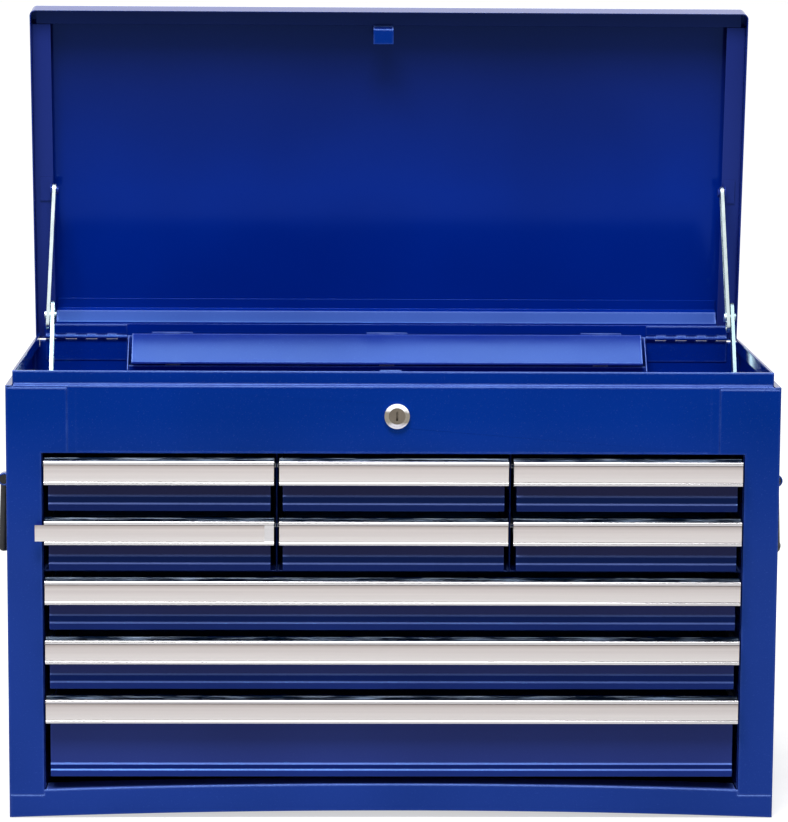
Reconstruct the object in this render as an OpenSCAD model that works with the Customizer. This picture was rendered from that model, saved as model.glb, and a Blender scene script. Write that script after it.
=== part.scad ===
// Portable tool box: nine drawers under a lidded tray, with a rod lock that the lid works.
// Millimetres. +X is right, -Y is the front, +Z is up.
// The origin is the centre of the base's flat underside, and the lid stands open.

/* [Body] */
// Width over the side panels
body_w = 660; // [600:1:800]
// Depth from the front stiles to the back panel
body_d = 305; // [285:1:380]
// Thickness of the body's sheet steel
sheet = 1; // [0.8:0.1:1.4]
// Width of each front stile
stile_w = 30; // [24:1:40]
// Height of the header panel, from the drawer opening to the ledge
header_h = 58; // [54:1:80]
// How far each side panel laps over the header's end
header_lap = 22; // [12:1:40]
// Height of the bottom rail at its ends
rail_h = 23.5; // [20:0.5:28]
// Rise of the bottom rail's arch
rail_rise = 6; // [3:0.5:6]
// Height of the corner feet below the stiles
foot_h = 20; // [16:0.5:20]
// Height of the rim that the closed lid covers
rim_h = 11.6; // [10:0.1:14]
// Set-back of the rim from the front
rim_front = 8.4; // [7:0.1:10]
// Set-back of the rim from each side
rim_side = 5.4; // [5:0.1:7]
// Width of the rim's folded hem
hem_w = 2.6; // [2:0.1:2.7]

/* [Drawers] */
// Height of a shallow drawer's front
drawer_h = 45.7; // [42:0.1:60]
// Height of the deep bottom drawer's front
deep_h = 71.1; // [60:0.1:110]
// Gap between two rows of drawers
row_gap = 6; // [5:0.1:9]
// Gap above the top row
top_gap = 3.7; // [2.5:0.1:6]
// Height of the bottom drawer's lower edge
first_z = 36.4; // [33:0.1:44]
// Gap between a pull's end and its bay
pull_gap = 1.8; // [1.2:0.1:2.2]
// How much further each side of a drawer front stands back than its pull
front_inset = 3; // [2.8:0.1:3.4]
// Distance from a drawer's back to the back panel
rear_space = 19.5; // [19:0.5:26]

/* [Pulls] */
// Height of the drawer pull
pull_h = 22.6; // [20:0.1:26]
// How far the pull stands out
pull_out = 12; // [11:0.1:15]
// Radius of the pull's rounded lips
lip_r = 1.9; // [1.6:0.05:2.1]
// How far one insert strip has slid out of its pull
strip_slip = 8; // [0:1:12]

/* [Lid] */
// Angle from closed to open
lid_open = 82.5; // [70:0.5:84]
// Overhang of the lid past the front
lid_front = 3.5; // [1.6:0.1:3.5]
// Inset of the lid's skirt from each side
lid_side = 3.5; // [3.3:0.1:3.7]
// Depth of the lid's skirt
skirt_h = 27.8; // [27:0.1:34]
// Radius of the lid's front corners in plan
lid_corner_r = 5; // [3:0.5:8]
// Width of the lid's side stiffening angles
angle_side = 17; // [14:0.5:19]
// Width of the lid's front stiffening angle
angle_front = 13; // [11:0.5:13.5]
// Width of the lid's rear flange
rear_flange = 14; // [12:0.5:16]

/* [Hinges] */
// Length of each hinge
hinge_len = 76; // [60:1:90]
// Distance from the hinge's outer end to the side of the body
hinge_inset = 12; // [12:0.5:16]
// Radius of a hinge knuckle
knuckle_r = 1.9; // [1.7:0.05:1.95]
// Radius of the hinge pin
pin_r = 1; // [0.8:0.05:1.1]
// Knuckles in each hinge
knuckles = 8; // [2:2:10]

/* [Stays] */
// Distance from the hinge pin to the stay's pivot on the lid
stay_reach = 139.3; // [125:0.5:145]
// Distance from the hinge pin forward to the stay's pivot on the body
stay_back = 87.6; // [80:0.5:95]
// Length of the lower link
stay_lower = 70; // [64:0.5:74]
// Width of a link
link_w = 12; // [10:0.5:13]
// Thickness of a link
link_t = 3; // [2.6:0.1:3.2]
// Lean of an upper link towards the middle, in degrees
link_lean = 2; // [0:0.1:2.2]
// How far a link runs on past the elbow's rivet
link_tail = 8; // [4:0.5:9]
// Radius of the stays' rivets
rivet_r = 2; // [1.5:0.1:2.5]

/* [Lock] */
// Sideways place of the key lock
lock_x = 2.5; // [-10:0.5:10]
// Height of the key lock above the drawer opening
lock_up = 32.6; // [31:0.1:33]
// Radius of the lock's face ring
bezel_r = 10.75; // [9.6:0.05:12]
// Radius of the lock barrel
barrel_r = 7; // [6:0.1:7.5]
// Sideways place of the catch on the lid
catch_x = -5.6; // [-7:0.1:-4]
// Width of the catch
catch_w = 18.3; // [14:0.1:20]
// How far the lock rods drop
rod_travel = 6; // [4:0.1:6]
// Width of a lock rod
rod_w = 14; // [10:0.5:18]
// Width of the tab on top of a lock rod
tab_w = 38; // [24:1:42]

/* [Handles] */
// Spread of a handle's legs
handle_w = 88; // [80:1:110]
// Drop from a handle's pivots to its grip
handle_drop = 62; // [50:1:80]
// Height of the handles' pivots
handle_z = 281; // [240:1:300]
// Radius of the handle's rod
handle_r = 4; // [3:0.1:4.4]
// Radius of the handle's grip
grip_r = 6; // [5:0.1:7]

/* [Hidden] */
$fn = 48;
run = 0.05;        // radial clearance of a pin that turns
slack = 0.3;       // clearance between pieces that pass each other
liner_t = 1;       // thickness of the drawer liners and dividers

// Body
half_w = body_w / 2;
front_y = -body_d / 2;
back_y = body_d / 2;
inner_x = half_w - sheet;
inner_back = back_y - sheet;
opening_z = first_z + deep_h + 4 * (row_gap + drawer_h) + top_gap;
ledge_z = opening_z + header_h;
rim_top = ledge_z + rim_h;
rim_x = half_w - rim_side;
rim_y = front_y + rim_front;
hem_x = rim_x - hem_w;
rim_end = inner_back - 1.7;
lap_x = half_w - stile_w - header_lap;
return_w = 12;     // depth of the folds behind the stiles and the header
lap_drop = 1.7;    // the lap's upper edge lies this far under the ledge
pan_step = 28;     // depth of the raised shelf at the front of the bottom pan
pan_up = 7;        // rise of that shelf
fold_h = 15;       // height of the pan's folds

// Hinge line
pin_y = inner_back - knuckle_r;
pin_z = ledge_z + 8;
leaf_t = 0.8;
leaf_gap = knuckle_r + slack;
leaf_h = 22;       // how far a body leaf reaches below its pin
hinge_x1 = half_w - hinge_inset;
hinge_x0 = hinge_x1 - hinge_len;

// Lid, in its closed place
lid_x = half_w - lid_side;
lid_y0 = front_y - lid_front;
lid_y1 = pin_y + 2.3;
lid_z0 = ledge_z + 0.8;
lid_z1 = lid_z0 + skirt_h;
angle_z = rim_top + 0.5;
angle_x = lid_x - sheet - angle_side;
flange_z = pin_z + leaf_gap;
catch_y = max(lid_y0 + sheet + angle_front + 0.2, rim_y + hem_w + 0.7);
catch_foot = 13.8; // length of the catch's foot
flange_x = hem_x - 3;
rail_run = 9;      // width and height of the rear rail's slope

// Drawer bays
liner_x = half_w - stile_w - liner_t;
bay_w = (2 * liner_x - 2 * liner_t) / 3;
col_pitch = bay_w + liner_t;
drawer_y1 = inner_back - rear_space;
tray_z = opening_z;
shelf_z = row_top(2) + (row_gap - liner_t) / 2 + 0.5;
liner_y1 = drawer_y1 + 6;
side_drop = 8;     // a drawer's sides end this far under its top
rear_drop = 17.7;  // a drawer's rear wall ends this far under its top
flange_out = 3.3;  // width of the flange that slides in a runner
channel_t = 0.8;   // thickness of the runners
channel_gap = 0.35;
pull_t = 1.5;

// Lock rods, lock plate and their housing
rod_y = inner_back - 6.5;
rod_t = 1.5;
plate_top = flange_z + 1.3;
plate_t = 1.2;
plate_flat = 5;
plate_y1 = rod_y + 3.5;
plate_drop = 23.5;
cheek_x = hinge_x0 - sheet;
plate_x = cheek_x - 4;
tab_h = 1.6;
hook_w = 12;
spring_r = 2.2;
spring_wire = 0.4;
spring_y = plate_y1 - spring_r;

// Stays, as seen from the side: [y, z]
link_gap = 1;      // between the planes of a stay's two links
wall_t = 1.4;      // wall of a link's pressed channel
ear_t = 1.5;       // thickness of the stays' brackets
ear_gap = 0.5;     // between a link and its bracket's ear, or its rivet's head
head_h = 1.8;      // height of a rivet's head
stay_x = [-angle_x - 0.6, angle_x + 5.5]; // between the links of the left stay and of the right one
lid_pivot_closed = [pin_y - stay_reach, angle_z - 8.1];
lid_pivot = swing(lid_pivot_closed);
body_pivot = [pin_y - stay_back, ledge_z - 28];
stay_span = norm(lid_pivot - body_pivot);
stay_upper = stay_span + 1 - stay_lower;
elbow = elbow_of(lid_pivot);

// Key lock
lock_z = opening_z + lock_up;
cam_y = catch_y + catch_foot + 0.8;
cam_t = 1.5;
cam_reach = angle_z - 12.1 - lock_z + 0.6;
sleeve_r = barrel_r + 2.5;
guard_y = cam_y + cam_t + 2.5;

// Handles
handle_x = half_w + 10;
grip_out = 2.3;
clip_w = 9.6;

// Rows of drawers, numbered from the top down
function row_top(row) = opening_z - top_gap - row * (drawer_h + row_gap);
function row_height(row) = row == 4 ? deep_h : drawer_h;
function row_columns(row) = row < 2 ? [-1, 0, 1] : [0];
function ridge_heights(row) = row == 4 ? [5.5, 10.8] : [5.7, 12.4];
function row_half(row) = row < 2 ? bay_w / 2 : liner_x;
function column_name(column) = column < 0 ? "_left" : column > 0 ? "_right" : "_centre";
function drawer_name(row, column) = str(row + 1, row < 2 ? column_name(column) : "");
DRAWERS = [for (row = [0 : 4]) for (column = row_columns(row)) [row, column]];

// A point of the closed lid, swung to where it stands open
function swing(p) = [
    pin_y + (p[0] - pin_y) * cos(lid_open) + (p[1] - pin_z) * sin(lid_open),
    pin_z - (p[0] - pin_y) * sin(lid_open) + (p[1] - pin_z) * cos(lid_open)
];

// The elbow of a stay whose upper end is at p; it folds rearwards
function elbow_of(p) =
    let (
        d = norm(p - body_pivot),
        to_p = atan2(p[1] - body_pivot[1], p[0] - body_pivot[0]),
        c = (stay_lower * stay_lower + d * d - stay_upper * stay_upper) / (2 * stay_lower * d),
        turn = to_p - acos(max(-1, min(1, c)))
    )
    body_pivot + stay_lower * [cos(turn), sin(turn)];

function rail_arch(x) = rail_rise * (1 - pow(x / inner_x, 2));

// ---- Shapes that repeat ----

// A box between two corners, given as a pair for each axis
module block(x, y, z) {
    translate([x[0], y[0], z[0]]) cube([x[1] - x[0], y[1] - y[0], z[1] - z[0]]);
}

// The piece and its mirror image on the other side
module both_sides() {
    children();
    mirror([1, 0, 0]) children();
}

// A [y, z] outline, drawn out along X
module along_x(x0, x1) {
    translate([x0, 0, 0]) rotate([90, 0, 90]) linear_extrude(height = x1 - x0) children();
}

// An [x, z] outline, drawn out along Y
module along_y(y0, y1) {
    translate([0, y1, 0]) rotate([90, 0, 0]) linear_extrude(height = y1 - y0) children();
}

module rod_x(x0, x1, at, r) {
    translate([x0, at[0], at[1]]) rotate([0, 90, 0]) cylinder(h = x1 - x0, r = r);
}

module rod_y(y0, y1, at, r) {
    translate([at[0], y1, at[1]]) rotate([90, 0, 0]) cylinder(h = y1 - y0, r = r);
}

// A flat bar with round ends, in the [y, z] plane
module bar_outline(p, q, r) {
    translate(p) circle(r);
    translate(q) circle(r);
    w = r - 0.01;
    translate(p) rotate(atan2(q[1] - p[1], q[0] - p[0])) translate([0, -w]) square([norm(q - p), 2 * w]);
}

// What is drawn as on the closed lid, swung open
module lid_place() {
    translate([0, pin_y, pin_z]) rotate([-lid_open, 0, 0]) translate([0, -pin_y, -pin_z]) children();
}

// ---- Body ----

module side_panel() {
    block([inner_x, half_w], [front_y, back_y], [0, ledge_z - sheet]);
    // ledge and rim
    block([rim_x, half_w], [front_y, inner_back], [ledge_z - sheet, ledge_z]);
    block([rim_x - sheet, rim_x], [rim_y + sheet, rim_end], [ledge_z - sheet, rim_top]);
    block([hem_x, rim_x], [rim_y + sheet, rim_end], [rim_top - sheet, rim_top]);
    // stile, its fold, and the lap over the header
    block([half_w - stile_w, half_w], [front_y, front_y + sheet], [foot_h, opening_z]);
    block([half_w - stile_w, half_w - stile_w + sheet], [front_y, front_y + return_w], [foot_h + 5, opening_z]);
    block([lap_x, half_w], [front_y, front_y + sheet], [opening_z, ledge_z - lap_drop]);
}

module side_panel_left() { color("royalblue") mirror([1, 0, 0]) side_panel(); }

module side_panel_right() { color("royalblue") side_panel(); }

module back_panel() {
    color("royalblue") {
        block([-inner_x, inner_x], [inner_back, back_y], [0, ledge_z - sheet]);
        block([sheet - rim_x, rim_x - sheet], [inner_back, back_y], [ledge_z - sheet, pin_z - 3.3]);
        both_sides() block([inner_x - sheet, inner_x], [inner_back - return_w, inner_back], [fold_h, ledge_z - sheet]);
    }
}

// Floor with a raised shelf at the front, and folds up the sides and back
module bottom_pan() {
    step_y = front_y + pan_step;
    color("royalblue") {
        block([-inner_x, inner_x], [step_y, inner_back], [0, sheet]);
        block([-inner_x, inner_x], [step_y, step_y + sheet], [0, pan_up + sheet]);
        block([-inner_x, inner_x], [front_y + sheet, step_y], [pan_up, pan_up + sheet]);
        block([-inner_x, inner_x], [inner_back - sheet, inner_back], [0, fold_h]);
        both_sides() block([inner_x - sheet, inner_x], [step_y, inner_back], [0, fold_h]);
        both_sides() block([inner_x - sheet, inner_x], [front_y + sheet, step_y], [pan_up, fold_h]);
    }
}

// Arched plate between the corner feet, with its upper edge folded back
module front_rail() {
    stile_x = half_w - stile_w;
    steps = [for (i = [-10 : 10]) i * stile_x / 10];
    upper = [for (x = steps) [x, rail_h + rail_arch(x)]];
    lower = [for (i = [len(steps) - 1 : -1 : 0]) [steps[i], rail_arch(steps[i])]];
    ends_right = [[stile_x, foot_h], [inner_x, foot_h], [inner_x, 0]];
    ends_left = [[-inner_x, 0], [-inner_x, foot_h], [-stile_x, foot_h]];
    fold = [for (i = [len(steps) - 1 : -1 : 0]) upper[i] - [0, sheet]];
    color("royalblue") {
        along_y(front_y, front_y + sheet) polygon(concat(upper, ends_right, lower, ends_left));
        intersection() {
            along_y(front_y, front_y + pan_step - 2) polygon(concat(upper, fold));
            block([0.5 - liner_x, liner_x - 0.5], [front_y, front_y + pan_step], [0, first_z]);
        }
    }
}

module header_panel() {
    joggle = 7.5;
    color("royalblue") difference() {
        union() {
            block([-lap_x, lap_x], [front_y, front_y + sheet], [opening_z, ledge_z]);
            block([-lap_x, lap_x], [front_y, rim_y + sheet], [ledge_z - sheet, ledge_z]);
            block([-lap_x, lap_x], [front_y, front_y + return_w], [opening_z, opening_z + sheet]);
            both_sides() {
                block([lap_x - joggle, inner_x], [front_y + sheet, front_y + 2 * sheet], [opening_z, ledge_z - sheet]);
                block([lap_x, rim_x - sheet], [front_y + sheet, rim_y + sheet], [ledge_z - sheet, ledge_z]);
                block([lap_x, inner_x], [front_y + sheet, front_y + return_w], [opening_z, opening_z + sheet]);
            }
            block([-rim_x, rim_x], [rim_y, rim_y + sheet], [ledge_z, rim_top]);
            block([sheet - rim_x, rim_x - sheet], [rim_y, rim_y + sheet], [ledge_z - sheet, ledge_z]);
            block([-hem_x, hem_x], [rim_y, rim_y + hem_w], [rim_top - sheet, rim_top]);
        }
        rod_y(front_y - 1, front_y + 3 * sheet, [lock_x, lock_z], sleeve_r + 0.1);
    }
}

// ---- Inside the body ----

module tray_floor() {
    slot_y = [rod_y - 1.5, rod_y + rod_t + 1.5];
    color("midnightblue") difference() {
        union() {
            block([-inner_x + 0.2, inner_x - 0.2], [front_y + return_w + 0.1, inner_back - 0.2], [tray_z, tray_z + sheet]);
            both_sides()
                block([inner_x - 1.2, inner_x - 0.2], [front_y + return_w + 0.1, inner_back - return_w - 1], [tray_z, tray_z + 11]);
        }
        for (column = [-1 : 1])
            translate([column * col_pitch, 0, 0])
                block([-rod_w / 2 - 1, rod_w / 2 + 1], slot_y, [tray_z - 1, tray_z + 2 * sheet]);
        both_sides() block([inner_x - sheet, inner_x], [inner_back - return_w - 0.2, inner_back], [tray_z - 1, tray_z + 2]);
    }
}

// Liners inside the stiles, two dividers between the columns, and the shelf under them
module drawer_dividers() {
    color("midnightblue") {
        both_sides() {
            block([liner_x, liner_x + liner_t], [front_y + 2, liner_y1], [pan_up + sheet, opening_z]);
            block([liner_x, inner_x], [liner_y1, liner_y1 + liner_t], [fold_h, opening_z]);
        }
        both_sides()
            block([bay_w / 2, bay_w / 2 + liner_t], [front_y + 6, liner_y1], [shelf_z + liner_t, opening_z]);
        block([-liner_x, liner_x], [front_y + return_w, liner_y1], [shelf_z, shelf_z + liner_t]);
    }
}

// One channel, on the wall that stands at x = 0 and opening towards +X
module runner_channel(z) {
    low = z - channel_gap - channel_t;
    high = z + sheet + channel_gap;
    y = [front_y + 13.5, drawer_y1 - 7];
    block([0, channel_t], y, [low, high + channel_t]);
    block([0, flange_out + channel_t - 0.1], y, [low, low + channel_t]);
    block([0, flange_out + channel_t - 0.1], y, [high, high + channel_t]);
}

module drawer_runners() {
    color("silver") for (d = DRAWERS) {
        z = row_top(d[0]) - side_drop - sheet;
        translate([d[1] * col_pitch, 0, 0]) both_sides()
            translate([-row_half(d[0]), 0, 0]) runner_channel(z);
    }
}

// ---- Drawers ----

// Section of a drawer front: a flat face over two pressed ridges at the heights given
module front_section(top, height, at) {
    // [height above the lower edge, how far the face stands out]
    ridges = [
        [0, 0.4], [at[0], 1.6], [at[0] + 1.2, 0.3], [at[1], 1.6], [at[1] + 1.2, 0], [height - 1, 0]
    ];
    outer = [for (p = ridges) [front_y - p[1], top - height + p[0]]];
    inner = [for (i = [len(ridges) - 1 : -1 : 0]) [front_y - ridges[i][1] + sheet, top - height + ridges[i][0]]];
    polygon(concat(outer, inner));
}

module drawer_box(row, column) {
    top = row_top(row);
    height = row_height(row);
    low = top - height;
    half = row_half(row) - pull_gap - front_inset;
    color("navy") translate([column * col_pitch, 0, 0]) {
        along_x(-half, half) front_section(top, height, ridge_heights(row));
        block([-half, half], [front_y, front_y + 8], [top - 2, top - 1]);
        block([-half, half], [front_y, drawer_y1], [low, low + sheet]);
        block([-half, half], [drawer_y1 - sheet, drawer_y1], [low, top - rear_drop]);
        both_sides() {
            block([half - sheet, half], [front_y, drawer_y1], [low, top - side_drop]);
            block([half - sheet, half + flange_out], [front_y + 13.5, drawer_y1 - 1], [top - side_drop - sheet, top - side_drop]);
        }
    }
}

// Section of a pull: u runs forward from the drawer's front and v up from its top
module pull_section() {
    web_u = pull_out - lip_r - 0.9;
    square_uv([0, pull_t - 0.1], [-13, 0]);
    square_uv([0, web_u + 0.5], [-3.6, -2.2]);
    translate([pull_out - lip_r, -1.3 - lip_r]) circle(lip_r);
    square_uv([web_u, web_u + pull_t], [lip_r - pull_h, -1.3 - lip_r]);
    translate([pull_out - lip_r, lip_r - pull_h]) circle(lip_r - 0.1);
}

module square_uv(u, v) {
    translate([u[0], v[0]]) square([u[1] - u[0], v[1] - v[0]]);
}

module pull(row, column) {
    half = row_half(row) - pull_gap;
    color("gainsboro") translate([column * col_pitch, 0, 0])
        along_x(-half, half) translate([front_y, row_top(row)]) mirror([1, 0]) pull_section();
}

// Strip between the pull's lips; the second row's left one has slid along
module strip(row, column) {
    half = row_half(row) - pull_gap;
    slip = row == 1 && column < 0 ? strip_slip : 0;
    web_u = pull_out - lip_r - 0.9 + pull_t;
    color("mistyrose") translate([column * col_pitch - slip, 0, 0])
        along_x(-half, half) translate([front_y, row_top(row)]) mirror([1, 0])
            square_uv([web_u, web_u + 0.7], [2 * lip_r - 0.1 - pull_h, -1.3 - 2 * lip_r]);
}

// ---- Rod lock ----

module lock_housing() {
    floor_z = tray_z + sheet;
    wall_y = plate_y1 - plate_drop + 2.5;
    rise = pin_z - leaf_h - 5 - floor_z;
    cheek = [
        [wall_y - 11, floor_z], [wall_y - 11, floor_z + rise], [pin_y - 3.6, pin_z],
        [pin_y + 0.9, pin_z], [pin_y + 0.9, floor_z]
    ];
    color("midnightblue") {
        block([-cheek_x, cheek_x], [wall_y, wall_y + sheet], [floor_z, plate_top - plate_drop - 4]);
        block([-cheek_x, cheek_x], [wall_y - 8, wall_y], [floor_z, floor_z + sheet]);
        both_sides() {
            along_x(cheek_x - sheet, cheek_x) polygon(cheek);
            block([plate_x + slack, cheek_x + 0.9], [plate_y1 - 0.9, plate_y1 + 0.1], [floor_z, pin_z + 1.4]);
        }
    }
}

module lock_plate() {
    bend_y = plate_y1 - plate_flat;
    foot_y = bend_y - plate_drop;
    foot_z = plate_top - plate_drop;
    outline = [
        [plate_y1, plate_top], [bend_y, plate_top], [foot_y, foot_z], [foot_y, foot_z - 2],
        [foot_y + plate_t, foot_z - 2], [foot_y + plate_t, foot_z - 0.5],
        [bend_y + 0.5, plate_top - plate_t], [plate_y1, plate_top - plate_t]
    ];
    color("cornflowerblue") difference() {
        along_x(-plate_x, plate_x) polygon(outline);
        for (column = [-1 : 1])
            translate([column * col_pitch, 0, 0])
                block([-rod_w / 2 - 0.2, rod_w / 2 + 0.2], [rod_y - 0.2, rod_y + rod_t + 0.2], [plate_top - 2, plate_top + 1]);
    }
}

// Three bars with a hook for each drawer, reaching over its rear wall
module lock_rods() {
    color("silver") for (column = [-1 : 1]) translate([column * col_pitch, 0, 0]) {
        block([-rod_w / 2, rod_w / 2], [rod_y, rod_y + rod_t], [row_top(4) - rear_drop - 20, plate_top + tab_h]);
        block([-tab_w / 2, tab_w / 2], [rod_y, rod_y + rod_t], [plate_top, plate_top + tab_h]);
        for (row = [0 : 4]) {
            rear_z = row_top(row) - rear_drop;
            lip_y = drawer_y1 - sheet - 4;
            block([-hook_w / 2, hook_w / 2], [lip_y, rod_y], [rear_z + rod_travel + 1, rear_z + rod_travel + 2.5]);
            block([-hook_w / 2, hook_w / 2], [lip_y, lip_y + 1.5], [rear_z + 0.6, rear_z + rod_travel + 2.5]);
        }
    }
}

// A coil spring standing on z = 0, as rings of points joined along the wire
module coil_spring(height, turns) {
    sides = 6;
    per_turn = 12;
    rings = turns * per_turn;
    mean_r = spring_r - spring_wire;
    rise = height - 2 * spring_wire;
    points = [
        for (i = [0 : rings]) for (k = [0 : sides - 1])
            let (a = i * 360 / per_turn, b = k * 360 / sides, r = mean_r + spring_wire * cos(b))
                [r * cos(a), r * sin(a), spring_wire + rise * i / rings + spring_wire * sin(b)]
    ];
    skin = [
        for (i = [0 : rings - 1]) for (k = [0 : sides - 1])
            let (n = (k + 1) % sides)
                [i * sides + k, i * sides + n, (i + 1) * sides + n, (i + 1) * sides + k]
    ];
    first = [for (k = [sides - 1 : -1 : 0]) k];
    last = [for (k = [0 : sides - 1]) rings * sides + k];
    polyhedron(points = points, faces = concat(skin, [first, last]));
}

module lock_springs() {
    floor_z = tray_z + sheet;
    color("silver") both_sides()
        translate([col_pitch / 2, spring_y, floor_z]) coil_spring(plate_top - plate_t - floor_z, 9);
}

// ---- Lid ----

// Plan of the lid, inset all round, with round front corners
module lid_plan(inset) {
    r = lid_corner_r - inset;
    w = lid_x - inset;
    y0 = lid_y0 + inset;
    translate([-w, y0 + r]) square([2 * w, lid_y1 - inset - y0 - r]);
    translate([r - w, y0]) square([2 * (w - r), 2 * r]);
    for (side = [-1, 1]) translate([side * (w - r), y0 + r]) circle(r);
}

module lid_shell() {
    color("royalblue") lid_place() {
        difference() {
            translate([0, 0, lid_z0]) linear_extrude(height = skirt_h) lid_plan(0);
            translate([0, 0, lid_z0 - 1]) linear_extrude(height = skirt_h + 1 - sheet) lid_plan(sheet);
            block([sheet - lid_x, lid_x - sheet], [lid_y1 - 2 * sheet, lid_y1 + 1], [lid_z0 - 1, flange_z]);
        }
        block([-flange_x, flange_x], [lid_y1 - rear_flange, lid_y1 - sheet / 2], [flange_z, flange_z + sheet]);
    }
}

// Angles along the lid's sides and front, and the sloped rail behind the hinge line
module lid_stiffeners() {
    skirt_x = lid_x - sheet;
    skirt_y = lid_y0 + sheet;
    top_z = lid_z1 - sheet;
    foot_y = lid_y1 - rear_flange - 1.7;
    foot_z = flange_z + sheet;
    knee_y = foot_y - rail_run;
    knee_z = foot_z + rail_run;
    rail = [
        [lid_y1 - 2, foot_z], [foot_y, foot_z], [knee_y, knee_z], [knee_y - 0.8, top_z - sheet],
        [knee_y - 10, top_z - sheet], [knee_y - 10, top_z], [knee_y + 0.2, top_z],
        [knee_y + sheet, knee_z + 0.4], [foot_y + 0.4, foot_z + sheet], [lid_y1 - 2, foot_z + sheet]
    ];
    color("royalblue") lid_place() {
        both_sides() {
            block([angle_x, skirt_x], [skirt_y + angle_front + slack, lid_y1 - 1.4], [angle_z, angle_z + sheet]);
            block([skirt_x - sheet, skirt_x], [skirt_y + angle_front + slack, lid_y1 - 1.4], [angle_z, angle_z + 12]);
        }
        block([lid_corner_r - lid_x, lid_x - lid_corner_r], [skirt_y, skirt_y + angle_front], [angle_z, angle_z + sheet]);
        block([lid_corner_r - lid_x, lid_x - lid_corner_r], [skirt_y, skirt_y + sheet], [angle_z, angle_z + 12]);
        along_x(0.5 - angle_x, angle_x - 0.5) polygon(rail);
    }
}

// Bent strip on the front angle; its foot goes under the lock's cam
module lid_catch() {
    foot_z = angle_z - 13.6;
    x = [catch_x - catch_w / 2, catch_x + catch_w / 2];
    color("royalblue") lid_place() {
        block(x, [lid_y0 + 3 * sheet, catch_y + 1.5], [angle_z + sheet, angle_z + sheet + 1.5]);
        block(x, [catch_y, catch_y + 1.5], [foot_z, angle_z + sheet + 1.5]);
        block(x, [catch_y, catch_y + catch_foot], [foot_z, foot_z + 1.5]);
    }
}

// ---- Hinges ----

// The x range of one knuckle
function knuckle(i) =
    let (pitch = hinge_len / knuckles)
    [hinge_x0 + pitch * i + 0.2, hinge_x0 + pitch * (i + 1) - 0.2];

// A leaf's knuckles: the even ones are the body's, the odd ones the lid's
module knuckle_row(first) {
    for (i = [first : 2 : knuckles - 1]) rod_x(knuckle(i)[0], knuckle(i)[1], [pin_y, pin_z], knuckle_r);
}

module pin_bore() {
    rod_x(hinge_x0 - 1, hinge_x1 + 1, [pin_y, pin_z], pin_r + run);
}

module hinge_body_leaves() {
    color("royalblue") both_sides() difference() {
        union() {
            block([hinge_x0, hinge_x1], [inner_back - leaf_t, inner_back], [pin_z - leaf_h, pin_z - leaf_gap]);
            for (i = [0 : 2 : knuckles - 1])
                block(knuckle(i), [inner_back - leaf_t, inner_back], [pin_z - leaf_gap, pin_z]);
            knuckle_row(0);
        }
        pin_bore();
    }
}

module hinge_lid_leaves() {
    leaf_z = [flange_z - leaf_t, flange_z];
    color("royalblue") both_sides() lid_place() difference() {
        union() {
            block([hinge_x0, hinge_x1], [lid_y1 - rear_flange + 0.3, pin_y - leaf_gap], leaf_z);
            for (i = [1 : 2 : knuckles - 1]) block(knuckle(i), [pin_y - leaf_gap, pin_y], leaf_z);
            knuckle_row(1);
        }
        pin_bore();
    }
}

module hinge_pins() {
    color("dimgray") both_sides() rod_x(hinge_x0, hinge_x1, [pin_y, pin_z], pin_r);
}

// ---- Stays ----

// A pressed channel from its bore at p past the elbow at q; its hollow faces the side given
module link(p, q, x0, side) {
    tip = q + link_tail * (q - p) / norm(q - p);
    hollow = side > 0 ? [x0 + wall_t, x0 + link_t + 1] : [x0 - 1, x0 + link_t - wall_t];
    difference() {
        along_x(x0, x0 + link_t) bar_outline(p, tip, link_w / 2);
        difference() {
            along_x(hollow[0], hollow[1]) bar_outline(p, tip, link_w / 2 - wall_t);
            rod_x(x0 - 2, x0 + link_t + 2, p, rivet_r + 2.2);
            rod_x(x0 - 2, x0 + link_t + 2, q, rivet_r + 2.2);
        }
    }
}

// Inner faces of a stay's two links, which stand side by side in the same order left and right
function upper_x(i) = stay_x[i] - link_gap / 2 - link_t;
function lower_x(i) = stay_x[i] + link_gap / 2;

// Sideways place of the upper link's middle at the lid's pivot
function top_x(i) = upper_x(i) + link_t / 2 + (i == 0 ? 1 : -1) * stay_upper * sin(link_lean);

// The upper link leans in, and carries its half of the elbow's rivet
module stay_upper_link(i) {
    x0 = upper_x(i);
    up = (lid_pivot - elbow) / norm(lid_pivot - elbow);
    difference() {
        translate([x0 + link_t, elbow[0], elbow[1]])
            rotate(a = i == 0 ? -link_lean : link_lean, v = [0, -up[1], up[0]])
                translate([-x0 - link_t, -elbow[0], -elbow[1]]) link(lid_pivot, elbow, x0, -1);
        rod_x(top_x(i) - link_t, top_x(i) + link_t, lid_pivot, rivet_r + run);
    }
    rod_x(x0 - head_h, x0 + 0.5, elbow, rivet_r + 2);
    rod_x(x0 + link_t - 0.5, x0 + link_t + link_gap - slack, elbow, rivet_r + 2);
}

// The lower link carries the other half
module stay_lower_link(i) {
    x0 = lower_x(i);
    difference() {
        link(body_pivot, elbow, x0, 1);
        rod_x(x0 - 1, x0 + link_t + 1, body_pivot, rivet_r + run);
    }
    rod_x(x0 + link_t - 0.2, x0 + link_t + head_h, elbow, rivet_r + 2);
}

module stay_upper_left() { color("lightgray") stay_upper_link(0); }

module stay_upper_right() { color("lightgray") stay_upper_link(1); }

module stay_lower_left() { color("lightgray") stay_lower_link(0); }

module stay_lower_right() { color("lightgray") stay_lower_link(1); }

// A rivet at x = 0 through a link's middle, from an ear at ear_x out to a head on the inside
module pivot_rivet(at, ear_x) {
    inside = -link_t / 2 - ear_gap;
    rod_x(inside, ear_x + 0.5, at, rivet_r);
    rod_x(inside - head_h, inside, at, rivet_r + 2);
}

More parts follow.
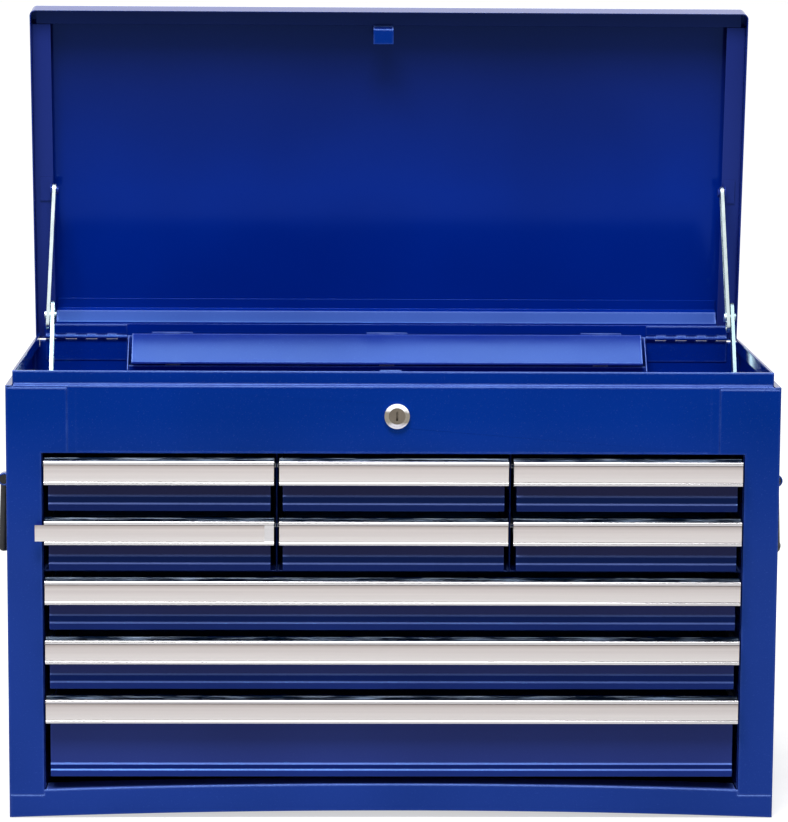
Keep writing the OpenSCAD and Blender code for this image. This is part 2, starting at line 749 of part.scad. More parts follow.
// One bracket's place: i is 0 for the left, which is mirrored, and x is its link's middle
module at_link(i, x) {
    if (i == 0) mirror([1, 0, 0]) translate([-x, 0, 0]) children();
    else translate([x, 0, 0]) children();
}

// Angle from the side wall that holds the lower link
module stay_body_brackets() {
    ear_x = link_t / 2 + ear_gap;
    y = [body_pivot[0] - 10, body_pivot[0] + 10];
    web_z = body_pivot[1] - 14;
    color("lightgray") for (i = [0, 1]) {
        x = lower_x(i) + link_t / 2;
        wall_x = inner_x - abs(x);
        at_link(i, x) {
            block([ear_x, ear_x + ear_t], y, [web_z, body_pivot[1]]);
            along_x(ear_x, ear_x + ear_t) bar_outline(body_pivot - [4, 0], body_pivot + [4, 0], 6);
            block([ear_x, wall_x], y, [web_z, web_z + ear_t]);
            block([wall_x - ear_t, wall_x], y, [web_z, web_z + 18]);
            pivot_rivet(body_pivot, ear_x);
        }
    }
}

// Angle under the lid's side angle that holds the upper link
module stay_lid_brackets() {
    ear_x = link_t / 2 + ear_gap;
    p = lid_pivot_closed;
    color("lightgray") lid_place() for (i = [0, 1]) at_link(i, top_x(i)) {
        block([ear_x, hem_x - 1.5 - abs(top_x(i))], [p[0] - 11, p[0] + 11], [angle_z - 1.2, angle_z]);
        block([ear_x, ear_x + ear_t], [p[0] - 6, p[0] + 6], [p[1], angle_z]);
        rod_x(ear_x, ear_x + ear_t, p, 6);
        pivot_rivet(p, ear_x);
    }
}

// ---- Key lock ----

module lock_bezel() {
    at = [lock_x, lock_z];
    color("silver") difference() {
        union() {
            rod_y(front_y - 3, front_y, at, bezel_r);
            rod_y(front_y - 1, cam_y - 8, at, sleeve_r);
        }
        rod_y(front_y - 4, cam_y, at, barrel_r + run);
        // dished face
        rod_y(front_y - 4, front_y - 2.2, at, bezel_r - 1.6);
    }
}

module lock_barrel() {
    at = [lock_x, lock_z];
    color("rosybrown") difference() {
        union() {
            rod_y(front_y - 2, cam_y, at, barrel_r);
            rod_y(cam_y - 1, cam_y + cam_t + 0.5, at, 3);
        }
        block([lock_x - 0.9, lock_x + 0.9], [front_y - 3, front_y + 6], [lock_z - 4, lock_z + 4]);
    }
}

// The cam points to the right when unlocked; its prong turns over the catch's foot
module lock_cam() {
    color("silver") translate([lock_x, 0, lock_z]) difference() {
        union() {
            rod_y(cam_y, cam_y + cam_t, [0, 0], 8);
            block([0, cam_reach + 1.5], [cam_y, cam_y + cam_t], [-6, 6]);
            block([cam_reach, cam_reach + 1.5], [cam_y - 5, cam_y + cam_t], [-3, 3]);
        }
        rod_y(cam_y - 1, cam_y + cam_t + 1, [0, 0], 3);
    }
}

module lock_nut() {
    y0 = front_y + 2 * sheet;
    color("silver") difference() {
        translate([lock_x, y0 + 4, lock_z]) rotate([90, 0, 0]) cylinder(h = 4, r = sleeve_r + 4, $fn = 6);
        rod_y(y0 - 1, y0 + 5, [lock_x, lock_z], sleeve_r);
    }
}

// Bracket behind the header; its upright stands behind the cam
module lock_guard() {
    y0 = front_y + sheet;
    x = [lock_x - 16.5, lock_x + 16.5];
    low = lock_z - 15.6;
    color("royalblue") difference() {
        union() {
            block(x, [y0, y0 + sheet], [low, lock_z + 15]);
            block(x, [y0, guard_y + sheet], [low, low + sheet]);
            block(x, [guard_y, guard_y + sheet], [low, lock_z + 20]);
            block([catch_x - 6.3, catch_x + 12.4], [guard_y, guard_y + sheet], [lock_z, rim_top - 1.4]);
        }
        rod_y(y0 - 1, y0 + 2 * sheet, [lock_x, lock_z], sleeve_r + 0.1);
    }
}

// ---- Handles ----

module handle() {
    leg = handle_w / 2;
    pivot = [handle_x, handle_z];
    grip = [handle_x + grip_out, handle_z - handle_drop];
    bend_r = handle_r + 0.3;
    color("dimgray") {
        both_ends() {
            rod_y(leg, leg + handle_r + clip_w + 0.7, pivot, handle_r);
            translate([pivot[0], leg, pivot[1]]) sphere(bend_r);
            translate([grip[0], leg, grip[1]]) sphere(bend_r);
            translate([grip[0], leg, grip[1]])
                rotate([0, -atan2(grip_out, handle_drop), 0]) cylinder(h = norm(pivot - grip), r = handle_r);
        }
        rod_y(-leg, leg, grip, handle_r);
        rod_y(-leg + 10, leg - 10, grip, grip_r);
    }
}

module both_ends() {
    children();
    mirror([0, 1, 0]) children();
}

module handle_left() { mirror([1, 0, 0]) handle(); }

module handle_right() { handle(); }

module handle_clips() {
    y0 = handle_w / 2 + handle_r + 0.4;
    outer_r = handle_r + 1.6;
    color("royalblue") both_sides() both_ends() difference() {
        union() {
            rod_y(y0, y0 + clip_w, [handle_x, handle_z], outer_r);
            block([half_w, handle_x], [y0, y0 + clip_w], [handle_z - outer_r, handle_z + outer_r]);
            block([half_w, half_w + 1.5], [y0, y0 + clip_w], [handle_z - 16, handle_z + 16]);
        }
        rod_y(y0 - 1, y0 + clip_w + 1, [handle_x, handle_z], handle_r + run);
    }
}

// ---- What is drawn ----

side_panel_left();
side_panel_right();
back_panel();
bottom_pan();
front_rail();
header_panel();
tray_floor();
drawer_dividers();
drawer_runners();
for (d = DRAWERS) {
    name = drawer_name(d[0], d[1]);
    drawer_box(d[0], d[1]);
    pull(d[0], d[1]);
    strip(d[0], d[1]);
}
lock_housing();
lock_plate();
lock_rods();
lock_springs();
lid_shell();
lid_stiffeners();
lid_catch();
hinge_body_leaves();
hinge_lid_leaves();
hinge_pins();
stay_upper_left();
stay_upper_right();
stay_lower_left();
stay_lower_right();
stay_body_brackets();
stay_lid_brackets();
lock_bezel();
lock_barrel();
lock_cam();
lock_nut();
lock_guard();
handle_left();
handle_right();
handle_clips();
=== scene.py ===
"""Portable tool box with nine drawers: the looks of its pieces, and a plain studio around them.

Every length is in metres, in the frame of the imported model: +X right, -Y front, +Z up.
"""

import math

import bpy
from mathutils import Matrix, Vector


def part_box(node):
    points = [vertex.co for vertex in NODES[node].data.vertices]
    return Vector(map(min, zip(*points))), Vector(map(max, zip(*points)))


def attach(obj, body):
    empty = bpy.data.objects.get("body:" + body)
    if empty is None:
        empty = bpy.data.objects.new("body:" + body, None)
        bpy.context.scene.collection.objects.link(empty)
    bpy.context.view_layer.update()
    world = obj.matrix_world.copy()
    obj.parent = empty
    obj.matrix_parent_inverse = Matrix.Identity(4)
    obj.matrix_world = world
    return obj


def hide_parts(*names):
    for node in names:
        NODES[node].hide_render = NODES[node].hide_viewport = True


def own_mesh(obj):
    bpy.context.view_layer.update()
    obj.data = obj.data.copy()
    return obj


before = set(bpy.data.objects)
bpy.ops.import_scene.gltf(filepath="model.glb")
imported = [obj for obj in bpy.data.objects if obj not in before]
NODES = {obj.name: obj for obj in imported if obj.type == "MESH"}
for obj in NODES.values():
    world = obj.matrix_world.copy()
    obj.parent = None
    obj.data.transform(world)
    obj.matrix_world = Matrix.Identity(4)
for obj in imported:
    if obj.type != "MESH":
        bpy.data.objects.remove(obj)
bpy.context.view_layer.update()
MM = 0.001
WHITE = (1, 1, 1, 1)

# Places on the box that its finishes go by.
FRONT_Y = -0.1525  # the stiles' and header's front face
TROUGH_Y = FRONT_Y - 8 * MM  # a pull's trough lies behind this
STRIP_Y = FRONT_Y + 1.5 * MM  # the front rail's rear strip lies behind this
PLATE_TOP = 0.3875  # the lock plate's flat top
TAB_Z = PLATE_TOP - 0.05 * MM  # the lock rods' tabs lie above this
LOCK_Z = 0.3506  # the key lock's axis
LOCK_SHADE = 11 * MM  # the lock ring's shading reaches this far above and below its axis
FLANGE_X = 0.31  # the lid's side flanges lie outside this
RIM_Z = 0.36  # the side panels above this are the tray's sides
FIRST_TOP = 0.3143  # height of the top row's pulls
ROW_PITCH = 0.0517  # from one row of drawers to the next

# Where a drawer front's two folds begin, and how high they are, in mm above its lower edge.
FOLDS = (5.7, 12.4)
DEEP_FOLDS = (5.5, 10.8)  # on the deep drawer
FOLD_HEIGHT = 1.2
OUTER_Y = FRONT_Y + 0.3 * MM  # a drawer front's outer faces lie before this

EDGE_WIDTH = 0.4 * MM  # rounding of the sheet's folds and cut edges
EDGE_ANGLE = math.radians(30)  # smaller turns than this stay as they are
WELD_WITHIN = 0.002 * MM


def add_object(name, data):
    """A new object in the scene."""
    made = bpy.data.objects.new(name, data)
    bpy.context.scene.collection.objects.link(made)
    return made


# ---------------------------------------------------------------- camera

IMAGE_W, IMAGE_H = 788, 822
FOCAL_PX = 3537.53
CENTRE_Y_PX = 490  # height of the optical axis in the image, from its top
CAMERA_AT = Vector((-0.07072, -3.13515, 0.75015))
# In radians: turned to the right, tilted down, and with its right side raised.
YAW, PITCH, ROLL = 0.02379, 0.15404, 0.00604
SENSOR_MM = 36
CLIP_START, CLIP_END = 0.05, 60


def make_camera():
    """The camera, with a vertical shift that sets its optical axis in the image."""
    data = bpy.data.cameras.new("camera")
    cam = add_object("camera", data)
    forward = Vector((
        math.sin(YAW) * math.cos(PITCH),
        math.cos(YAW) * math.cos(PITCH),
        -math.sin(PITCH),
    ))
    level = Vector((math.cos(YAW), -math.sin(YAW), 0))
    up = level.cross(forward)
    right = math.cos(ROLL) * level + math.sin(ROLL) * up
    above = math.cos(ROLL) * up - math.sin(ROLL) * level
    turn = Matrix((right, above, -forward)).transposed().to_4x4()
    cam.matrix_world = Matrix.Translation(CAMERA_AT) @ turn
    data.sensor_fit = "HORIZONTAL"
    data.sensor_width = SENSOR_MM
    data.lens = FOCAL_PX * SENSOR_MM / IMAGE_W
    data.shift_y = (CENTRE_Y_PX - IMAGE_H / 2) / IMAGE_W
    data.clip_start, data.clip_end = CLIP_START, CLIP_END
    bpy.context.scene.camera = cam


make_camera()

# ---------------------------------------------------------------- material helpers

MIX_A, MIX_B, MIX_RESULT = 6, 7, 2  # a Mix node's sockets for colours
BEVEL_SAMPLES = 4
# Cosine of a surface's turn, where an edge's mask starts and where it is full.
TURN_STARTS, TURN_FULL = 0.995, 0.9
# Upward part of a fold's normal, where the mask of lit folds starts and where it is full.
UP_STARTS, UP_FULL = 0.1, 0.5


def srgb(r, g, b):
    """A colour written as 0 to 255, as linear RGBA."""

    def linear(v):
        v /= 255
        return v / 12.92 if v <= 0.04045 else ((v + 0.055) / 1.055) ** 2.4

    return (linear(r), linear(g), linear(b), 1)


def darker(colour, share):
    """A colour written as 0 to 255, at a share of its values, as linear RGBA."""
    return srgb(*[value * share for value in colour])


class Material:
    """A Principled material with short calls for its nodes."""

    def __init__(self, name):
        self.made = bpy.data.materials.new(name)
        self.made.use_nodes = True
        self.tree = self.made.node_tree
        self.shader = self.tree.nodes["Principled BSDF"]
        self.at = self.node("ShaderNodeTexCoord").outputs["Object"]

    def node(self, kind, **settings):
        made = self.tree.nodes.new(kind)
        for name, value in settings.items():
            setattr(made, name, value)
        return made

    def plug(self, value, socket):
        """Links a socket to a node's output, or sets it to a plain value."""
        if isinstance(value, bpy.types.NodeSocket):
            self.tree.links.new(value, socket)
        else:
            socket.default_value = value

    def set(self, **values):
        """Sets the shader's sockets, written with _ for a space."""
        for name, value in values.items():
            self.plug(value, self.shader.inputs[name.replace("_", " ")])
        return self

    def stretched(self, x, y, z):
        """The object's coordinates, multiplied along each axis."""
        made = self.node("ShaderNodeMapping")
        self.plug(self.at, made.inputs["Vector"])
        made.inputs["Scale"].default_value = (x, y, z)
        return made.outputs["Vector"]

    def noise(self, scale, detail, rough=0.5, at=None):
        """Noise with features about 1 / scale metres across."""
        made = self.node("ShaderNodeTexNoise")
        self.plug(at or self.at, made.inputs["Vector"])
        made.inputs["Scale"].default_value = scale
        made.inputs["Detail"].default_value = detail
        made.inputs["Roughness"].default_value = rough
        return made.outputs["Fac"]

    def spread(self, value, low, high, a=0.0, b=1.0):
        """value, mapped from low..high to a..b and clamped."""
        made = self.node("ShaderNodeMapRange")
        self.plug(value, made.inputs["Value"])
        for name, v in (("From Min", low), ("From Max", high), ("To Min", a), ("To Max", b)):
            made.inputs[name].default_value = v
        return made.outputs["Result"]

    def blend(self, share, a, b, kind="MIX"):
        """Colour a, with a share of b over it."""
        made = self.node("ShaderNodeMix", data_type="RGBA", blend_type=kind)
        self.plug(share, made.inputs["Factor"])
        self.plug(a, made.inputs[MIX_A])
        self.plug(b, made.inputs[MIX_B])
        return made.outputs[MIX_RESULT]

    def maths(self, operation, a, b):
        made = self.node("ShaderNodeMath", operation=operation)
        self.plug(a, made.inputs[0])
        self.plug(b, made.inputs[1])
        return made.outputs[0]

    def bump(self, height, depth, strength, under=None):
        """A normal bent by height, over the normal under it."""
        made = self.node("ShaderNodeBump")
        self.plug(height, made.inputs["Height"])
        made.inputs["Distance"].default_value = depth
        made.inputs["Strength"].default_value = strength
        if under is not None:
            self.plug(under, made.inputs["Normal"])
        return made.outputs["Normal"]

    def upward(self, vector):
        """A vector's upward part."""
        axes = self.node("ShaderNodeSeparateXYZ")
        self.plug(vector, axes.inputs[0])
        return axes.outputs["Z"]

    def height(self):
        return self.upward(self.at)

    def edges(self, radius):
        """Two masks of an edge's rounding, for painted highlights: for every edge, and for folds
        that face up.
        """
        soft = self.node("ShaderNodeBevel", samples=BEVEL_SAMPLES)
        soft.inputs["Radius"].default_value = radius
        true = self.node("ShaderNodeNewGeometry")
        dot = self.node("ShaderNodeVectorMath", operation="DOT_PRODUCT")
        self.plug(soft.outputs["Normal"], dot.inputs[0])
        self.plug(true.outputs["Normal"], dot.inputs[1])
        every = self.spread(dot.outputs["Value"], TURN_STARTS, TURN_FULL)
        own = self.node(
            "ShaderNodeVectorTransform",
            vector_type="NORMAL",
            convert_from="WORLD",
            convert_to="OBJECT",
        )
        self.plug(soft.outputs["Normal"], own.inputs[0])
        up = self.spread(self.upward(own.outputs[0]), UP_STARTS, UP_FULL)
        return every, self.maths("MULTIPLY", every, up)


# ---------------------------------------------------------------- materials

# Tints of an enamel's gloss.
CLEAR = (0.06, 0.4, 1, 1)
PALE = (0.14, 0.4, 1, 1)
DULL = (0.3, 0.34, 0.8, 1)
DEEP = (0.12, 0.26, 0.9, 1)

# Heights between which an enamel goes from its lower colour to its upper one, a change that is
# painted shade and reflection.
PLAIN = (0.22, 0.35)
ROWS = (0.05, 0.25)
LID = (0.52, 0.69)

# Soft patches on the enamels are painted reflection of the surroundings.
REFLECTION_PATCH = srgb(180, 186, 200)  # what an enamel's soft patches are multiplied by


def enamel(name, upper, lower, edge, turn, fold, radius=1.9, tint=CLEAR):
    """Gloss enamel on sheet steel, with orange peel, specks, and painted light: shade and
    reflection painted by height, soft patches of painted reflection, and painted highlights on
    edges and folds.

    upper, lower and edge are colours, and turn holds the heights between which lower gives way
    to upper; that change is painted shade and reflection. edge is the colour of the specks, of the
    painted highlights and wear on every edge, and of the painted highlights on folds that face up.
    fold is the share of edge on folds that face up, and radius is how far from a fold it shows, in
    mm.
    """
    m = Material(name)
    # Painted shade and reflection: the colour goes from lower to upper with height.
    body = m.blend(m.spread(m.height(), *turn), srgb(*lower), srgb(*upper))
    # Soft patches of painted reflection.
    patches = m.spread(m.noise(5.5, 2), 0.35, 0.68, 0, 0.45)  # 0.2 m across
    body = m.blend(patches, body, REFLECTION_PATCH, "MULTIPLY")
    specks = m.spread(m.noise(900, 2), 0.63, 0.78, 0, 0.08)  # 1 mm across
    body = m.blend(specks, body, srgb(*edge))
    every, up = m.edges(radius * MM)
    # Painted highlights with wear on every edge, and painted highlights on folds that face up.
    worn_and_lit = m.maths("MULTIPLY", every, m.spread(m.noise(60, 4, 0.65), 0.3, 0.65, 0, 0.12))
    lit = m.maths("MULTIPLY", up, m.spread(m.noise(35, 3, 0.6), 0.25, 0.6, fold * 0.75, fold))
    gloss = m.spread(m.noise(14, 3), 0.3, 0.7, 0.09, 0.14)
    peel = m.bump(m.noise(420, 1.5), 0.02 * MM, 0.25)  # dimples 2 mm across
    waves = m.bump(m.noise(9, 2), 0.35 * MM, 0.25, peel)  # the sheet's own, 0.1 m across
    return m.set(
        Base_Color=m.blend(m.maths("MAXIMUM", worn_and_lit, lit), body, srgb(*edge)),
        Roughness=gloss,
        Normal=waves,
        Specular_IOR_Level=0.3,
        Specular_Tint=tint,
    ).made


def plated(name, colour, rough, grain, mottled, cloud_dark=0.78):
    """Bare or plated metal, with drawn lines along the axis where grain is least.

    mottled is the most that its clouds of cloud_dark times the colour cover.
    """
    m = Material(name)
    lines = m.noise(260, 4, 0.7, m.stretched(*grain))
    clouds = m.spread(m.noise(70, 3, 0.6), 0.35, 0.7, 0, mottled)
    shade = m.blend(clouds, srgb(*colour), darker(colour, cloud_dark))
    shade = m.blend(m.spread(lines, 0.35, 0.7, 0, 0.35), shade, darker(colour, 0.86))
    return m.set(
        Base_Color=shade,
        Metallic=1.0,
        Roughness=m.spread(lines, 0.3, 0.7, rough * 0.75, rough * 1.25),
        Normal=m.bump(lines, 0.02 * MM, 0.5),
    ).made


def shaded_trough_metal(name):
    """Bare metal behind a pull's lip, with painted shade and a painted reflection of the dark gap
    above it in long ripples.
    """
    m = Material(name)
    reflected_ripple = m.noise(1, 3, 0.55, m.stretched(26, 40, 620))  # 40 mm long and 1.6 mm high
    drawn = m.noise(300, 2, 0.5, m.stretched(0.05, 1, 1))  # lines along the pull
    return m.set(
        # Painted reflection and shade in ripples: dark bands and pale ones.
        Base_Color=m.blend(m.spread(reflected_ripple, 0.45, 0.7), srgb(16, 30, 50), srgb(150, 166, 186)),
        Metallic=1.0,
        Roughness=m.spread(reflected_ripple, 0.3, 0.7, 0.22, 0.34),
        Normal=m.bump(drawn, 0.01 * MM, 0.4),
    ).made


def chrome_ring(name):
    """Plated ring with painted reflection: white above, brown across the middle, and pale again at
    its foot.
    """
    m = Material(name)
    level = m.spread(m.height(), LOCK_Z - LOCK_SHADE, LOCK_Z + LOCK_SHADE, -1, 1)
    up = m.maths("ADD", level, m.spread(m.noise(160, 2), 0.3, 0.7, -0.1, 0.1))
    # Painted reflection, by height about the lock's axis.
    shade = m.blend(m.spread(up, 0.25, 0.5), srgb(132, 126, 116), srgb(250, 250, 252))
    shade = m.blend(m.spread(up, -0.45, -0.75), shade, srgb(196, 194, 204))
    return m.set(
        Base_Color=shade,
        Metallic=1.0,
        Roughness=0.16,
        Normal=m.bump(m.noise(500, 2), 0.01 * MM, 0.4),
    ).made


def strip_plastic(name):
    """Satin strip with faint streaks along it, a painted shadow under the pull's lip and painted
    light below it.
    """
    m = Material(name)
    streaks = m.noise(90, 3, 0.6, m.stretched(0.03, 1, 4))
    fine = m.noise(1500, 1)
    shade = m.blend(m.spread(streaks, 0.3, 0.7), srgb(197, 189, 188), srgb(209, 202, 200))
    below_top = m.maths("MODULO", m.maths("SUBTRACT", FIRST_TOP, m.height()), ROW_PITCH)
    # Painted shadow of the pull's lip.
    lip_shadow = m.spread(below_top, 4.5 * MM, 8.5 * MM, 0.9, 0)
    shade = m.blend(lip_shadow, shade, srgb(152, 140, 136))
    # Painted light lower down the strip.
    shade = m.blend(m.spread(below_top, 10 * MM, 20 * MM, 0, 0.7), shade, srgb(230, 226, 225))
    return m.set(
        Base_Color=shade,
        Roughness=m.spread(fine, 0.3, 0.7, 0.42, 0.58),
        Normal=m.bump(fine, 0.01 * MM, 0.4),
        Specular_IOR_Level=0.3,
    ).made


def black_rod(name):
    """Black dipped rod, slightly uneven."""
    m = Material(name)
    skin = m.noise(500, 2)
    return m.set(
        Base_Color=m.blend(m.spread(m.noise(40, 3), 0.3, 0.7), srgb(18, 18, 20), srgb(34, 34, 37)),
        Roughness=m.spread(skin, 0.3, 0.7, 0.38, 0.55),
        Normal=m.bump(skin, 0.04 * MM, 0.6),
        Specular_IOR_Level=0.4,
    ).made


# Colours of painted highlights and wear on folds and edges, and of the enamels' specks.
SKY_EDGE = (132, 164, 252)  # bright folds in full light
ROW_EDGE = (96, 124, 205)  # folds of the drawers' fronts
LID_EDGE = (60, 84, 160)  # folds inside the lid

# The blue enamel: its header above is darker and deeper blue than the parts below, as painted
# reflection.
PAINT = enamel("blue_enamel", (0, 36, 133), (31, 52, 139), SKY_EDGE, PLAIN, 1.0, 2.6)
# A copy of the blue enamel in painted shade, darker and with a weak painted highlight on its
# folds, for the tray's sides.
RIM_SHADE = enamel("rim_shade", (0, 30, 116), (0, 30, 116), (60, 84, 170), PLAIN, 0.3, tint=DEEP)
# Drawer fronts in painted shade under the pulls, darker in the upper rows.
DRAWER_SHADE = enamel("drawer_front_shade", (22, 23, 58), (32, 49, 118), ROW_EDGE, ROWS, 0.5, 1.5, DULL)
# Painted shade on the band between a drawer front's folds, and on the dividers between drawers.
BAND_SHADE = enamel("drawer_band_shade", (0, 12, 62), (2, 22, 100), (70, 96, 176), ROWS, 0.5, 1.5, DEEP)
# A drawer front below its lower fold, in a copy with its own painted shade.
LIP_SHADE = enamel("drawer_lip_shade", (16, 28, 88), (26, 46, 126), ROW_EDGE, ROWS, 0.5, 1.5, DEEP)
SHADE = enamel("lid_inside", (16, 20, 62), (0, 38, 142), LID_EDGE, LID, 0.0, tint=DEEP)
# The lid's side flanges and the stays' lid brackets, with more painted reflection than the rest of
# the lid's inside.
FLANGE_SHEEN = enamel("lid_flange_sheen", (28, 40, 112), (32, 46, 122), LID_EDGE, LID, 0.0, tint=DEEP)
# The lock plate: a copy of the blue enamel with more red in its colour and a paler gloss, for
# painted sheen.
PLATE_SHEEN = enamel("plate_sheen", (16, 40, 136), (16, 40, 136), SKY_EDGE, PLAIN, 1.0, tint=PALE)
# Painted sheen on the slope of the lid's rear rail, and painted light on the front rail's rear
# strip, which lies in shade.
LIT_SLOPE = enamel("lid_rail_sheen", (60, 86, 166), (60, 84, 170), (130, 160, 252), PLAIN, 1.0, 3.5)
# Painted highlights on the two folds of a drawer front.
FOLD_HIGHLIGHT = enamel("drawer_fold_highlight", (112, 130, 200), (98, 124, 208), (120, 146, 228), ROWS, 0.5)
INSIDE = enamel("drawer_inside", (12, 34, 112), (20, 42, 122), (110, 140, 232), PLAIN, 0.8, 1.5)
TROUGH_SHADE = shaded_trough_metal("pull_trough_shade")
# A paler copy of the zinc plate, as painted light on the stays' upper links.
LIT_ZINC = plated("lit_zinc", (206, 220, 222), 0.3, (1, 1, 0.1), 0.3)

# Each slot's own finish.
FINISH = {
    "blue_paint": PAINT,
    "drawer_paint": INSIDE,
    "pull_aluminium": plated("drawn_aluminium", (186, 184, 186), 0.2, (0.02, 1, 1), 0.05),
    "insert_strip": strip_plastic("strip"),
    "zinc_plate": plated("zinc_plate", (128, 150, 158), 0.34, (1, 1, 0.1), 0.4),
    "galvanised_steel": plated("galvanised", (168, 172, 176), 0.4, (1, 0.05, 1), 0.5, 0.7),
    "pin_steel": plated("pin_steel", (44, 74, 150), 0.45, (0.1, 1, 1), 0.3),
    "lock_chrome": chrome_ring("chrome"),
    "lock_face": plated("lock_face", (112, 104, 94), 0.3, (1, 1, 0.2), 0.5),
    "handle_black": black_rod("black_rod"),
}

# ---------------------------------------------------------------- finish of the CAD pieces

# The start of a node's name and its slot, of which the first that fits counts.
SLOTS = (
    ("drawer_dividers", "blue_paint"),
    ("drawer_runners", "galvanised_steel"),
    ("drawer_", "drawer_paint"),
    ("pull_", "pull_aluminium"),
    ("strip_", "insert_strip"),
    ("stay_lid_brackets", "blue_paint"),
    ("stay_", "zinc_plate"),
    ("lock_rods", "galvanised_steel"),
    ("lock_nut", "galvanised_steel"),
    ("lock_cam", "galvanised_steel"),
    ("lock_springs", "pin_steel"),
    ("hinge_pins", "pin_steel"),
    ("lock_bezel", "lock_chrome"),
    ("lock_barrel", "lock_face"),
    ("handle_left", "handle_black"),
    ("handle_right", "handle_black"),
    ("", "blue_paint"),
)


# Limits of a face's normal, along Y for faces that look to the front.
SIDEWAYS = -0.1  # less than this is part of a drawer's front
FRONTWARD = -0.5  # less than this faces the front
SLOPE_Y = -0.3  # the slope of the lid's rail has less than this
# The same along Z.
SLOPE_LOW, SLOPE_HIGH = 0.45, 0.9  # the slope of the lid's rail is between these
UPWARD = 0.5  # more than this faces up
LIFTED = 0.3  # more than this looks up a little


def everywhere(at, normal):
    return True


def facing_front(at, normal):
    return normal.y < FRONTWARD


def on_flange(at, normal):
    """The front faces of the lid's side flanges."""
    return facing_front(at, normal) and abs(at.x) > FLANGE_X


def on_slope(at, normal):
    """The slope of the rail at the lid's rear."""
    return SLOPE_LOW < normal.z < SLOPE_HIGH and normal.y < SLOPE_Y


def in_tray(at, normal):
    """The side panels' inner faces in the tray, and the tops of their rims."""
    return at.z > RIM_Z and (normal.x * at.x < 0 or normal.z > UPWARD)


def on_tab(at, normal):
    """The lock rods' tabs on top of the lock plate."""
    return at.z > TAB_Z


def in_trough(at, normal):
    """A pull's faces behind its lip."""
    return at.y > TROUGH_Y


def on_rear_strip(at, normal):
    """The front rail's rear strip, where it looks up."""
    return normal.z > LIFTED and at.y > STRIP_Y


# The start of a node's name, another material of its slot, and the faces that get it, in order.
# Most of these materials are copies of a slot's finish in which shade, light and reflection are
# painted.
SECOND_FINISHES = (
    ("lock_rods", PAINT, on_tab),
    ("pull_", TROUGH_SHADE, in_trough),
    ("lid_shell", SHADE, facing_front),
    ("lid_stiffeners", SHADE, everywhere),
    ("lid_shell", FLANGE_SHEEN, on_flange),
    ("lid_stiffeners", FLANGE_SHEEN, on_flange),
    ("lid_stiffeners", LIT_SLOPE, on_slope),
    ("stay_lid_brackets", FLANGE_SHEEN, everywhere),
    ("stay_upper", LIT_ZINC, everywhere),
    ("side_panel", RIM_SHADE, in_tray),
    ("drawer_dividers", BAND_SHADE, facing_front),
    ("lock_plate", PLATE_SHEEN, everywhere),
    ("front_rail", LIT_SLOPE, on_rear_strip),
)


def add_finish(obj, material):
    """Adds a material to a piece, and returns its index there."""
    obj.data.materials.append(material)
    return len(obj.data.materials) - 1


def second_finish(obj, material, chosen):
    """Gives the chosen faces another material of the same slot."""
    index = add_finish(obj, material)
    for face in obj.data.polygons:
        if chosen(face.center, face.normal):
            face.material_index = index


def paint_front(obj):
    """Paints light and shade on a drawer's front, from below: the lip in painted shade, a painted
    highlight on a fold, painted shade on the band between the folds, another painted highlight on
    a fold, and the face in painted shade.
    """
    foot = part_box(obj.name)[0][2]
    first, second = DEEP_FOLDS if obj.name == "drawer_5" else FOLDS
    front, band_shade, lit_fold, lip = [add_finish(obj, m) for m in (DRAWER_SHADE, BAND_SHADE, FOLD_HIGHLIGHT, LIP_SHADE)]
    for face in obj.data.polygons:
        if face.center.y > OUTER_Y or face.normal.y > SIDEWAYS:
            continue
        up = (face.center.z - foot) / MM
        if first < up < first + FOLD_HEIGHT or second < up < second + FOLD_HEIGHT:
            face.material_index = lit_fold
        elif first + FOLD_HEIGHT < up < second:
            face.material_index = band_shade
        else:
            face.material_index = lip if up < first else front


def soften(obj):
    """Rounds a sheet piece's folds and cut edges."""
    weld = obj.modifiers.new("weld", "WELD")
    weld.merge_threshold = WELD_WITHIN
    bevel = obj.modifiers.new("bevel", "BEVEL")
    bevel.width = EDGE_WIDTH
    bevel.segments = 2
    bevel.limit_method = "ANGLE"
    bevel.angle_limit = EDGE_ANGLE
    bevel.harden_normals = False
    normals = obj.modifiers.new("normals", "WEIGHTED_NORMAL")
    normals.keep_sharp = False


def finish_node(name, obj):
    """Gives a CAD piece its slot and its materials, and rounds it where it's painted sheet."""
    slot = next(slot for start, slot in SLOTS if name.startswith(start))
    obj.data.materials.clear()
    obj.data.materials.append(FINISH[slot])
    if slot == "drawer_paint":
        paint_front(obj)
    for start, material, chosen in SECOND_FINISHES:
        if name.startswith(start):
            second_finish(obj, material, chosen)
    if slot in ("blue_paint", "drawer_paint"):
        soften(obj)


for node_name, node in NODES.items():
    finish_node(node_name, node)


def make_springs():
    """The lock rods' springs again, as one piece that rides on the lock slide."""
    springs = add_object("coil_springs", NODES["lock_springs"].data.copy())
    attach(springs, "lock_slide")
    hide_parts("lock_springs")
    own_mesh(springs)


make_springs()

# ---------------------------------------------------------------- studio

WORLD_LIGHT = 0.38
FLOOR_HALF = 40  # half the floor's side
FLOOR_DROP = 0.5 * MM  # the floor lies this far below the box
FLOOR_NEAR, FLOOR_FAR = 0.5, 3  # distances from the middle, between which its lift grows
LIFT_NEAR, LIFT_FAR = 0.6, 0.85  # what it adds there where it's seen, so that it reads white


def seen(tree):
    """1 for the rays that show a background: from the camera, in gloss and through glass."""
    path = tree.nodes.new("ShaderNodeLightPath")
    total = path.outputs["Is Camera Ray"]
    for ray in ("Is Glossy Ray", "Is Transmission Ray"):
        either = tree.nodes.new("ShaderNodeMath")
        either.operation = "MAXIMUM"
        tree.links.new(total, either.inputs[0])
        tree.links.new(path.outputs[ray], either.inputs[1])
        total = either.outputs[0]
    return total


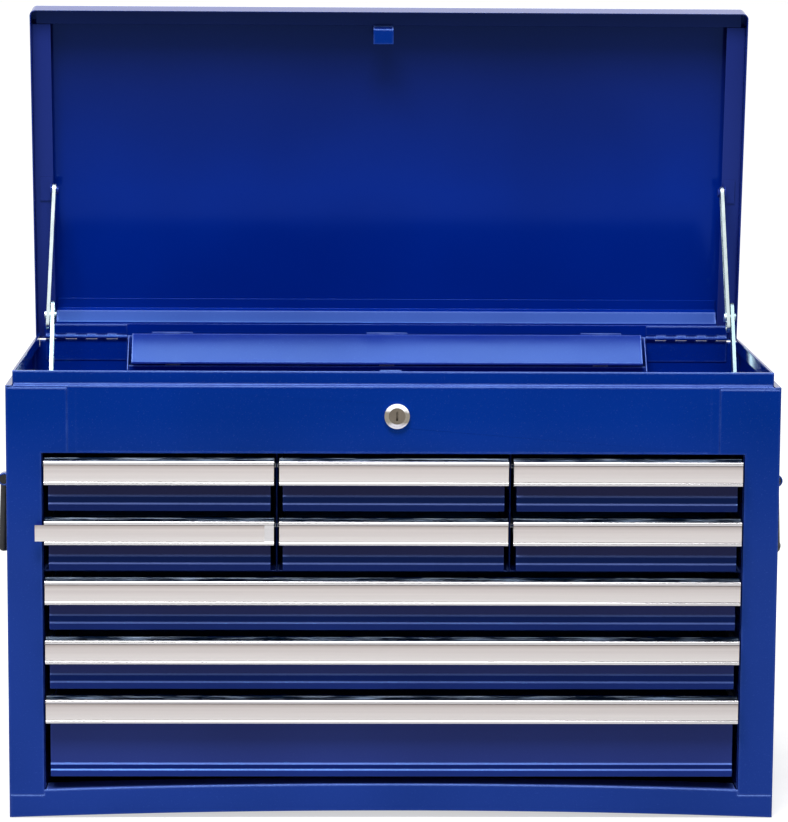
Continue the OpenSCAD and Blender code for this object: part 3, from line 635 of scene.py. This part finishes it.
def make_world():
    """A plain white room, which gives less light than it shows."""
    world = bpy.data.worlds.new("world")
    bpy.context.scene.world = world
    world.use_nodes = True
    tree = world.node_tree
    light = tree.nodes["Background"]
    light.inputs["Color"].default_value = WHITE
    light.inputs["Strength"].default_value = WORLD_LIGHT
    shown = tree.nodes.new("ShaderNodeBackground")
    shown.inputs["Color"].default_value = WHITE
    shown.inputs["Strength"].default_value = 1
    mix = tree.nodes.new("ShaderNodeMixShader")
    tree.links.new(seen(tree), mix.inputs["Fac"])
    tree.links.new(light.outputs[0], mix.inputs[1])
    tree.links.new(shown.outputs[0], mix.inputs[2])
    tree.links.new(mix.outputs[0], tree.nodes["World Output"].inputs["Surface"])


def make_floor():
    """A pale floor that keeps the box's shadow."""
    m = Material("floor")
    grain = m.spread(m.noise(30, 3), 0.3, 0.7)
    away = m.node("ShaderNodeVectorMath", operation="LENGTH")
    m.plug(m.at, away.inputs[0])
    lift = m.spread(away.outputs["Value"], FLOOR_NEAR, FLOOR_FAR, LIFT_NEAR, LIFT_FAR)
    m.set(
        Base_Color=m.blend(grain, srgb(196, 196, 196), srgb(202, 202, 202)),
        Roughness=0.9,
        Specular_IOR_Level=0.0,
        Emission_Color=WHITE,
        Emission_Strength=m.maths("MULTIPLY", seen(m.tree), lift),
    )
    signs = ((-1, -1), (1, -1), (1, 1), (-1, 1))
    mesh = bpy.data.meshes.new("floor")
    mesh.from_pydata([(x * FLOOR_HALF, y * FLOOR_HALF, 0) for x, y in signs], [], [(0, 1, 2, 3)])
    floor = add_object("floor", mesh)
    floor.data.materials.append(m.made)
    floor.location.z = -FLOOR_DROP


def make_lamp(name, at, aim, size, power):
    """A rectangular soft box at a place, turned to what it lights; power is in watts."""
    data = bpy.data.lights.new(name, "AREA")
    data.shape = "RECTANGLE"
    data.size, data.size_y = size
    data.energy = power
    lamp = add_object(name, data)
    lamp.location = at
    lamp.rotation_mode = "QUATERNION"
    lamp.rotation_quaternion = (Vector(aim) - Vector(at)).to_track_quat("-Z", "Y")


bpy.context.scene.view_settings.view_transform = "Standard"
make_world()
make_floor()
make_lamp("key", at=(-0.35, -1.55, 2.95), aim=(0, 0, 0.3), size=(1.6, 0.9), power=100)
make_lamp("strip", at=(0, -0.15, 3.1), aim=(0, -0.05, 0.4), size=(1.5, 0.5), power=30)
